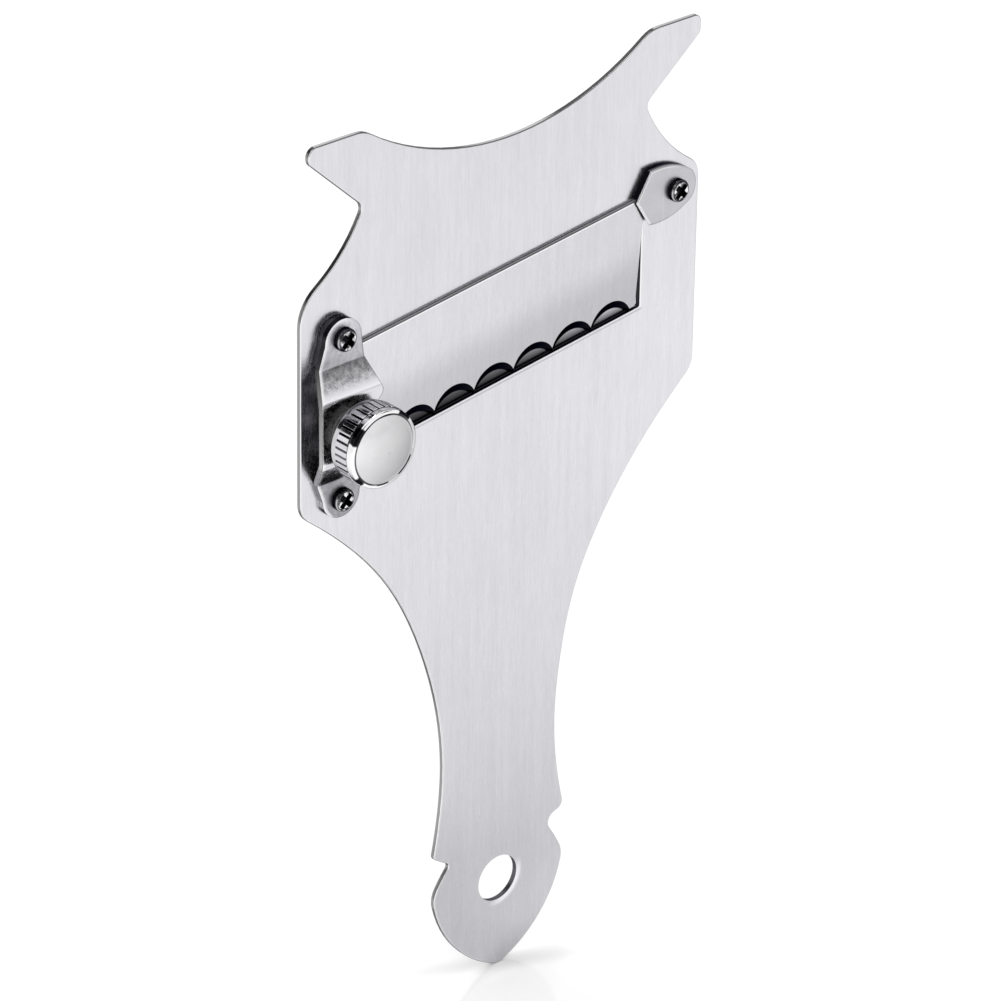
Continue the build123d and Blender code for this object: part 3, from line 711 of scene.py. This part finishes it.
# Right end clip: satin stamped steel, with a painted highlight on its bevel, painted shade on its lower
# right edge and painted shade on its walls
clip = {
    "colour": (0.545, 0.540, 0.567),
    "grain": (0.16 * mm, 0.16 * mm, 0.5 * mm),
    "cloud": grey(2.2 * mm),
    "grainShares": (0.6, 0.4),  # of the grain and of the clouds
    "contrast": 0.06,
    "gloss": (0.30, 0.40),
    "grainDepth": 0.002 * mm,
    "round": 0.14 * mm,
    # painted highlight on the upper left bevel
    "bevelColour": (0.93, 0.93, 0.94),
    "bevel": {"toward": (-0.88, 0, 0.47), "reach": 0.5 * mm, "lean": (0.02, 0.10)},
    # painted shade on the lower right edge
    "shadeColour": (0.40, 0.40, 0.41),
    "shade": {"toward": (0.75, 0, -0.66), "reach": 0.5 * mm, "lean": (0.03, 0.14)},
    # painted shade on the walls, lighter on the wall that looks up
    "wallColour": (0.016, 0.016, 0.020),
    "wallTurn": (0.45, 0.25),
    "topWallColour": (0.30, 0.30, 0.31),
    "topWallTurn": (0.55, 0.80),
    "topWallFade": (0.9 * mm, 0.6 * mm),  # below the clip's face
}


def dressClip(look):
    material, tree, shader = newMetal("satin clip steel")
    clipTop = -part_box("end_clip")[0].y
    grain = noise(tree, look["grain"])
    cloud = noise(tree, look["cloud"], 2.0, 0.5)
    tone = contrasted(tree, mixed(tree, (grain, cloud), look["grainShares"]), look["contrast"])
    face = tinted(tree, look["colour"], tone)
    # painted shade on the lower right edge and a painted highlight on the bevel
    face = blend(tree, nearEdge(tree, look["shade"]), face, look["shadeColour"])
    face = blend(tree, nearEdge(tree, look["bevel"]), face, look["bevelColour"])
    # painted shade on the walls
    isWall = rescale(tree, facing(tree, knobward), *look["wallTurn"])
    isTop = times(
        tree,
        rescale(tree, facing(tree, upward), *look["topWallTurn"]),
        rescale(tree, along(tree, knobward), *[clipTop - below for below in look["topWallFade"]]),
    )
    wall = blend(tree, isTop, look["wallColour"], look["topWallColour"])
    paint(tree, shader, blend(tree, isWall, face, wall), glossOf(tree, grain, look["gloss"]))
    addRelief(tree, shader, grain, look["grainDepth"], rounded(tree, look["round"]))
    dress(nodes["end_clip"], material)


# Pan head screws: chrome with painted dark reflections, painted glints and a painted highlight arc, and
# painted shade black in the cross
screw = {
    "names": ("bracket_screw_upper", "bracket_screw_lower", "clip_screw"),
    "topColour": (1, 1, 1.03),
    "patches": (0.05, 0.85),  # darkest and lightest of the painted glints on the top
    "patchSpan": (0.42, 0.60),
    "haze": grey(0.75 * mm),
    "hazeShift": 900,  # for each metre up, so that each head has its own patches
    "gloss": (0.10, 0.22),
    "hazeDepth": 0.004 * mm,
    "round": 0.09 * mm,
    # painted dark reflection on the crown, with a painted highlight arc
    "crownColour": (0.05, 0.05, 0.056),
    "crownTurn": (0.97, 0.90),
    "arcColour": (0.42, 0.42, 0.43),
    "arcToward": (-0.92, 0, -0.38),
    "arcTurn": (0.10, 0.45),
    "arcBand": (0.52, 0.74, 0.10),
    # painted shade on the wall and in the cross
    "wallColour": (0.012, 0.012, 0.014),
    "wallTurn": (0.35, 0.15),
    "crossColour": (0.008, 0.008, 0.010),
    "crossReach": (1.70 * mm, 1.60 * mm),
    "crossDepth": (0.05 * mm, 0.15 * mm),
}


def dressScrew(name, look):
    low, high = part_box(name)
    centre = (low + high) / 2
    top = Vector((centre.x, low.y, centre.z))
    # chrome with painted reflections, glints and shade
    material, tree, shader = newMetal(f"screw chrome with painted reflections {name}")
    haze = noise(tree, look["haze"], 3.0, 0.55, shift=(centre.z * look["hazeShift"], 0, 0))
    outward = facing(tree, knobward)
    # painted glints on the top
    colour = tinted(tree, look["topColour"], rescale(tree, haze, *look["patchSpan"], *look["patches"]))
    # painted dark reflection on the crown with a painted highlight arc, and painted shade on the wall
    onArc = times(
        tree,
        rescale(tree, facing(tree, look["arcToward"]), *look["arcTurn"]),
        within(tree, outward, *look["arcBand"]),
    )
    crown = blend(tree, onArc, look["crownColour"], look["arcColour"])
    colour = blend(tree, rescale(tree, outward, *look["crownTurn"]), colour, crown)
    colour = blend(tree, rescale(tree, outward, *look["wallTurn"]), colour, look["wallColour"])
    # painted shade in the cross
    inCross = times(
        tree,
        rescale(tree, awayFrom(tree, top), *look["crossReach"]),
        rescale(tree, along(tree, foodward, top), *look["crossDepth"]),
    )
    colour = blend(tree, inCross, colour, look["crossColour"])
    paint(tree, shader, colour, glossOf(tree, haze, look["gloss"]))
    addRelief(tree, shader, haze, look["hazeDepth"], rounded(tree, look["round"]))
    dress(nodes[name], material)


# Knob: bright chrome with painted shade and painted reflections, with its places measured from its back and
# from its axis
knob = {
    "colour": (0.90, 0.895, 0.905),
    "tones": (0.96, 1.0),
    "haze": grey(2.4 * mm),
    "gloss": (0.06, 0.12),
    "hazeDepth": 0.004 * mm,
    "round": 0.07 * mm,
    # painted shade toward the lower right
    "rightToward": (0.92, 0, -0.39),
    "rightStart": (1.0 * mm, 5.0 * mm),
    "rightTone": 0.66,
    "collarColour": (0.62, 0.615, 0.63),
    "collarFade": 0.1 * mm,
    # painted shade on the back face
    "underShadeColour": (0.02, 0.02, 0.022),
    "underTurn": (0.6, 0.9),
}
knurl = {
    "span": (1.25 * mm, 4.30 * mm),
    "soft": 0.08 * mm,
    "colour": (1, 0.99, 1.03),
    "tones": (0.78, 0.64),  # painted shade, at the top and at the lower left
    "lowerLeft": (-0.55, 0, -0.83),
    "lowerLeftStart": (-1.0 * mm, 4.5 * mm),
    "grooveReach": (7.20 * mm, 7.06 * mm),
    # painted shade in the grooves, lighter at the lower left
    "grooveColour": (0.03, 0.03, 0.034),
    "shallowColour": (0.34, 0.34, 0.35),
}
ring = {
    "depth": (-0.6 * mm, -0.1 * mm),  # from the end of the knurl
    "reach": (6.35 * mm, 6.5 * mm),
    "breakColour": (0.010, 0.010, 0.012),
    "breaks": ((-0.81, 0.58, 0.965), (0.64, 0.77, 0.975), (-0.80, -0.60, 0.985)),  # painted black reflections on the chrome ring
    "breakFade": 0.012,
    "ragged": 0.01,
}


def paintedRingReflections(tree, look, onRing, reach, haze, body):
    for x, z, start in look["breaks"]:
        turned = compute(tree, "DIVIDE", along(tree, (x, 0, z), knobCentre), reach)
        ragged = compute(tree, "ADD", turned, toneOf(tree, haze, -look["ragged"], look["ragged"]))
        isBreak = times(tree, onRing, rescale(tree, ragged, start, start + look["breakFade"]))
        body = blend(tree, isBreak, body, look["breakColour"])
    return body


def dressKnob(look):
    material, tree, shader = newMetal("knob chrome")
    haze = noise(tree, look["haze"], 4.0, 0.6)
    reach = awayFrom(tree, knobCentre)
    depth = along(tree, knobward, (0, knobHigh.y, 0))
    start, stop = knurl["span"]
    body = tinted(tree, look["colour"], toneOf(tree, haze, *look["tones"]))
    # painted shade toward the lower right
    right = rescale(tree, along(tree, look["rightToward"], knobCentre), *look["rightStart"])
    body = tinted(tree, body, rescale(tree, right, 0, 1, 1.0, look["rightTone"], smooth=False))
    body = blend(tree, rescale(tree, depth, start, start - look["collarFade"]), body, look["collarColour"])
    onRing = times(
        tree,
        rescale(tree, depth, *[stop + step for step in ring["depth"]]),
        rescale(tree, reach, *ring["reach"]),
    )
    # painted black reflections on the ring
    body = paintedRingReflections(tree, ring, onRing, reach, haze, body)
    onKnurl = within(tree, depth, start, stop, knurl["soft"])
    # painted shade on the knurl, darker at the lower left, and in its grooves
    lowerLeft = rescale(tree, along(tree, knurl["lowerLeft"], knobCentre), *knurl["lowerLeftStart"])
    ridge = tinted(tree, knurl["colour"], rescale(tree, lowerLeft, 0, 1, *knurl["tones"], smooth=False))
    body = blend(tree, onKnurl, body, ridge)
    inGroove = times(tree, onKnurl, rescale(tree, reach, *knurl["grooveReach"]))
    body = blend(tree, inGroove, body, blend(tree, lowerLeft, knurl["grooveColour"], knurl["shallowColour"]))
    # painted shade on the back face
    under = rescale(tree, facing(tree, foodward), *look["underTurn"])
    body = blend(tree, under, body, look["underShadeColour"])
    paint(tree, shader, body, glossOf(tree, haze, look["gloss"]))
    addRelief(tree, shader, haze, look["hazeDepth"], rounded(tree, look["round"]))
    dress(nodes["knob"], material)


# The cap pressed into the knob: chrome too, a little duller, with painted shade across it, a painted
# highlight on its lower right rim and painted shade in its seam
cap = {
    "colour": (0.92, 0.915, 0.93),
    "shadeToward": (0.80, 0, -0.60),
    # painted shade across the cap
    "shades": ((-6.3 * mm, 0.86), (-3.5 * mm, 0.76), (0 * mm, 0.645), (3.4 * mm, 0.52), (6.0 * mm, 0.52)),
    "tones": (0.96, 1.03),
    "haze": grey(2 * mm),
    "gloss": (0.17, 0.23),
    "hazeDepth": 0.004 * mm,
    "rightToward": (0.87, 0, -0.49),
    "rightStart": (1.5 * mm, 4.5 * mm),
    # painted highlight on the lower right rim
    "rimColour": (0.62, 0.62, 0.64),
    "rim": (5.35 * mm, 5.75 * mm),
    # painted shade in the seam, lighter at the lower right
    "seamColour": (0.10, 0.10, 0.105),
    "rightSeam": (0.42, 0.42, 0.43),
    "seam": (6.08 * mm, 6.2 * mm),
}


def dressCap(look):
    material, tree, shader = newMetal("knob cap chrome")
    haze = noise(tree, look["haze"], 4.0, 0.6)
    reach = awayFrom(tree, knobCentre)
    # painted shade across the cap, a painted highlight on its lower right rim and painted shade in its seam
    shade = toneAlong(tree, along(tree, look["shadeToward"], knobCentre), look["shades"])
    colour = tinted(tree, look["colour"], times(tree, shade, toneOf(tree, haze, *look["tones"])))
    lowerRight = rescale(tree, along(tree, look["rightToward"], knobCentre), *look["rightStart"])
    onRim = times(tree, rescale(tree, reach, *look["rim"]), lowerRight)
    colour = blend(tree, onRim, colour, look["rimColour"])
    seamColour = blend(tree, lowerRight, look["seamColour"], look["rightSeam"])
    colour = blend(tree, rescale(tree, reach, *look["seam"]), colour, seamColour)
    paint(tree, shader, colour, glossOf(tree, haze, look["gloss"]))
    addRelief(tree, shader, haze, look["hazeDepth"])
    dress(nodes["knob_cap"], material)


# Turned pieces under the knob, each with rings as wide as ring
stud = {"colour": (0.46, 0.455, 0.47), "ring": 0.12 * mm, "gloss": (0.22, 0.34), "tones": (0.78, 1)}
stopRing = {"colour": (0.30, 0.30, 0.31), "ring": 0.10 * mm, "gloss": (0.25, 0.38), "tones": (0.7, 1)}
bush = {"colour": (0.42, 0.415, 0.43), "ring": 0.14 * mm, "gloss": (0.20, 0.32), "tones": (0.8, 1)}
turning = {"ringDepth": 0.004 * mm, "round": 0.05 * mm}


def dressTurned(node, name, look):
    material, tree, shader = newMetal(name)
    spot = tree.nodes.new("ShaderNodeCombineXYZ")
    tree.links.new(awayFrom(tree, knobCentre), spot.inputs[0])
    tree.links.new(along(tree, foodward), spot.inputs[1])
    rings = tree.nodes.new("ShaderNodeTexNoise")
    rings.inputs["Scale"].default_value = 1 / look["ring"]
    rings.inputs["Detail"].default_value = 3
    tree.links.new(spot.outputs[0], rings.inputs["Vector"])
    tone = toneOf(tree, rings.outputs[0], *look["tones"])
    paint(tree, shader, tinted(tree, look["colour"], tone), glossOf(tree, rings.outputs[0], look["gloss"]))
    addRelief(tree, shader, rings.outputs[0], turning["ringDepth"], rounded(tree, turning["round"]))
    dress(nodes[node], material)


washer = {
    "light": (0.80, 0.79, 0.74),
    "dark": (0.70, 0.69, 0.63),
    "grain": grey(0.35 * mm),
    "gloss": (0.42, 0.55),
    "grainDepth": 0.008 * mm,
}


def dressWasher(look):
    material, tree, shader = newFinish("washer nylon")
    grain = noise(tree, look["grain"], 4.0, 0.6)
    paint(tree, shader, blend(tree, grain, look["dark"], look["light"]), glossOf(tree, grain, look["gloss"]))
    addRelief(tree, shader, grain, look["grainDepth"])
    dress(nodes["knob_washer"], material)


# Friction coil under the knob
coil = {
    "radius": 3.2 * mm,
    "wire": 0.3 * mm,
    "turns": 3.5,
    "stepsInTurn": 40,
    "sides": 14,
    "keep": 0.70,  # of its length, when the knob is screwed right in
    "colour": (0.50, 0.49, 0.47),
    "tones": (0.8, 1.1),
    "gloss": (0.2, 0.34),
    "drawLine": (0.12 * mm, 0.5 * mm, 0.12 * mm),
    "lineDepth": 0.002 * mm,
}


def coilPoints(look, top, bottom):
    # rings of points round the wire, from the deck's end to the washer's
    steps = int(look["turns"] * look["stepsInTurn"])
    rise = (bottom - top) / (2 * math.pi * look["turns"])
    points = []
    for step in range(steps + 1):
        angle = 2 * math.pi * look["turns"] * step / steps
        outward = Vector((math.cos(angle), 0, math.sin(angle)))
        run = Vector((-math.sin(angle), 0, math.cos(angle))) * look["radius"]
        heading = (run + Vector((0, rise, 0))).normalized()
        side = heading.cross(outward).normalized()
        middle = Vector((knobCentre.x, top + rise * angle, knobCentre.z)) + outward * look["radius"]
        for index in range(look["sides"]):
            turn = 2 * math.pi * index / look["sides"]
            points.append(middle + (outward * math.cos(turn) + side * math.sin(turn)) * look["wire"])
    return points


def coilFaces(sides, steps):
    faces = []
    for step in range(steps):
        here, there = step * sides, (step + 1) * sides
        for index in range(sides):
            nextSide = (index + 1) % sides
            faces.append((here + index, there + index, there + nextSide, here + nextSide))
    faces.append(tuple(range(sides)))
    faces.append(tuple(steps * sides + index for index in reversed(range(sides))))
    return faces


def makeCoil(look):
    low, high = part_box("friction_spring")
    points = coilPoints(look, low.y + look["wire"], high.y - look["wire"])
    mesh = bpy.data.meshes.new("frictionCoil")
    mesh.from_pydata(points, [], coilFaces(look["sides"], len(points) // look["sides"] - 1))
    mesh.update()
    for polygon in mesh.polygons:
        polygon.use_smooth = len(polygon.vertices) == 4
    piece = bpy.data.objects.new("frictionCoil", mesh)
    bpy.context.scene.collection.objects.link(piece)
    material, tree, shader = newMetal("drawn spring wire")
    lines = noise(tree, look["drawLine"])
    colour = tinted(tree, look["colour"], toneOf(tree, lines, *look["tones"]))
    paint(tree, shader, colour, glossOf(tree, lines, look["gloss"]))
    addRelief(tree, shader, lines, look["lineDepth"])
    dress(piece, material)
    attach(piece, "body")
    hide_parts("friction_spring")
    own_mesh(piece)


# Studio: a white floor with a painted soft shadow and a faint reflection only round the tip
floor = {
    "reach": 3.0,
    "colour": (0.86, 0.86, 0.86),
    "glow": 0.20,
    "gloss": 0.07,
    "shine": 0.75,
    "shineReach": (110 * mm, 20 * mm),
    "shadeDepth": 0.22,
    "shadeLong": 26 * mm,
    "shadeWide": 4.2 * mm,
    "shadeTurn": -26,  # degrees, so that it lies across the picture
}
worldLevel = 0.85
lampAim = Vector((0, 0, 0.07))
lamps = {
    "leftSoftbox": {"spot": (-0.8, -0.8, 0.9), "size": (0.7, 0.7), "power": 5.0},
    "topSoftbox": {"spot": (0.15, 0.25, 1.2), "size": (0.12, 0.12), "power": 1.5},
}
# black flags that only reflections see, each in its direction from the middle of the body
flagColour = (0.01, 0.01, 0.012, 1)
flagCentre = Vector((0, 0, 0.09))
flags = {
    "cameraFlag": {"toward": (-0.60, -0.62, 0.50), "distance": 0.55, "size": (0.50, 0.42)},
    "leftRearFlag": {"toward": (-0.50, 0.64, 0.58), "distance": 0.60, "size": (0.36, 0.30)},
    "upperRightFlag": {"toward": (0.60, -0.48, 0.64), "distance": 0.60, "size": (0.30, 0.24)},
    "lowerRightFlag": {"toward": (0.93, 0.02, -0.36), "distance": 0.28, "size": (0.16, 0.10)},
}


def stageSheet(name, corners, material):
    mesh = bpy.data.meshes.new(name)
    mesh.from_pydata(corners, [], [(0, 1, 2, 3)])
    mesh.materials.append(material)
    sheet = bpy.data.objects.new(name, mesh)
    bpy.context.scene.collection.objects.link(sheet)
    return sheet


def seenShare(tree):
    # 1 for the camera and for reflections and refractions, 0 for light that falls on things
    path = tree.nodes.new("ShaderNodeLightPath")
    seen = compute(tree, "ADD", path.outputs["Is Camera Ray"], path.outputs["Is Glossy Ray"])
    return compute(tree, "MINIMUM", compute(tree, "ADD", seen, path.outputs["Is Transmission Ray"]), 1)


def paintedTipShadow(tree, look):
    # a painted oval shadow on the floor, darkest under the tip
    turn = math.radians(look["shadeTurn"])
    long = times(tree, along(tree, (math.cos(turn), math.sin(turn), 0)), 1 / look["shadeLong"])
    wide = times(tree, along(tree, (-math.sin(turn), math.cos(turn), 0)), 1 / look["shadeWide"])
    squares = [compute(tree, "POWER", share, 2) for share in (long, wide)]
    far = compute(tree, "SQRT", compute(tree, "ADD", *squares))
    return rescale(tree, far, 1.0, 0.0, 0.0, look["shadeDepth"])


def makeFloor(look):
    bottom = cadBox[0][2]
    half = look["reach"]
    material, tree, shader = newFinish("white floor")
    # painted shadow round the tip, in the floor's colour and in its glow
    light = leftOver(tree, paintedTipShadow(tree, look))
    tree.links.new(tinted(tree, look["colour"], light), shader.inputs["Base Color"])
    shader.inputs["Roughness"].default_value = look["gloss"]
    nearTip = rescale(tree, awayFrom(tree, holeCentre, flatten=(1, 1, 0)), *look["shineReach"])
    tree.links.new(times(tree, nearTip, look["shine"]), shader.inputs["Specular IOR Level"])
    shader.inputs["Specular Tint"].default_value = white
    shader.inputs["Emission Color"].default_value = white
    tree.links.new(times(tree, seenShare(tree), look["glow"], light), shader.inputs["Emission Strength"])
    corners = [(-half, -half, bottom), (half, -half, bottom), (half, half, bottom), (-half, half, bottom)]
    stageSheet("studioFloor", corners, material)


def makeWorld():
    world = bpy.data.worlds.new("studioWorld")
    bpy.context.scene.world = world
    world.use_nodes = True
    tree = world.node_tree
    tree.nodes.clear()
    output = tree.nodes.new("ShaderNodeOutputWorld")
    light = tree.nodes.new("ShaderNodeBackground")
    light.inputs[0].default_value = white
    tree.links.new(rescale(tree, seenShare(tree), 0, 1, worldLevel, 1.0, smooth=False), light.inputs[1])
    tree.links.new(light.outputs[0], output.inputs[0])


def makeLamps():
    for name, look in lamps.items():
        data = bpy.data.lights.new(name, "AREA")
        data.shape = "RECTANGLE"
        data.size, data.size_y = look["size"]
        data.energy = look["power"]
        lamp = bpy.data.objects.new(name, data)
        bpy.context.scene.collection.objects.link(lamp)
        lamp.location = look["spot"]
        lamp.rotation_mode = "QUATERNION"
        lamp.rotation_quaternion = (lampAim - Vector(look["spot"])).to_track_quat("-Z", "Y")


def makeFlags():
    material = bpy.data.materials.new("black flag")
    material.use_nodes = True
    tree = material.node_tree
    tree.nodes.clear()
    output = tree.nodes.new("ShaderNodeOutputMaterial")
    black = tree.nodes.new("ShaderNodeBsdfDiffuse")
    black.inputs["Color"].default_value = flagColour
    tree.links.new(black.outputs[0], output.inputs[0])
    for name, look in flags.items():
        toward = Vector(look["toward"]).normalized()
        side = toward.cross(Vector(upward)).normalized()
        rise = side.cross(toward)
        wide, tall = look["size"]
        centre = flagCentre + toward * look["distance"]
        right, up = side * wide / 2, rise * tall / 2
        corners = [centre - right - up, centre + right - up, centre + right + up, centre - right + up]
        sheet = stageSheet(name, corners, material)
        sheet.visible_camera = False
        sheet.visible_diffuse = False
        sheet.visible_shadow = False


makeCamera(cameraView)
print("camera placed")
makeFloor(floor)
makeWorld()
makeLamps()
makeFlags()
bpy.context.scene.view_settings.view_transform = "Standard"
print("studio lit")
dressPlate(plate)
dressBlade(blade, hollowGrind)
dressBracket(bracket)
dressShim(shim)
dressClip(clip)
print("sheet pieces dressed")
for screwName in screw["names"]:
    dressScrew(screwName, screw)
dressKnob(knob)
dressCap(cap)
print("screws and knob dressed")
dressTurned("adjuster_stud", "turned stud steel", stud)
dressTurned("stud_stop_ring", "stop ring steel", stopRing)
dressTurned("bridge_bush", "nickelled brass", bush)
dressWasher(washer)
makeCoil(coil)
print("pieces under the knob dressed")
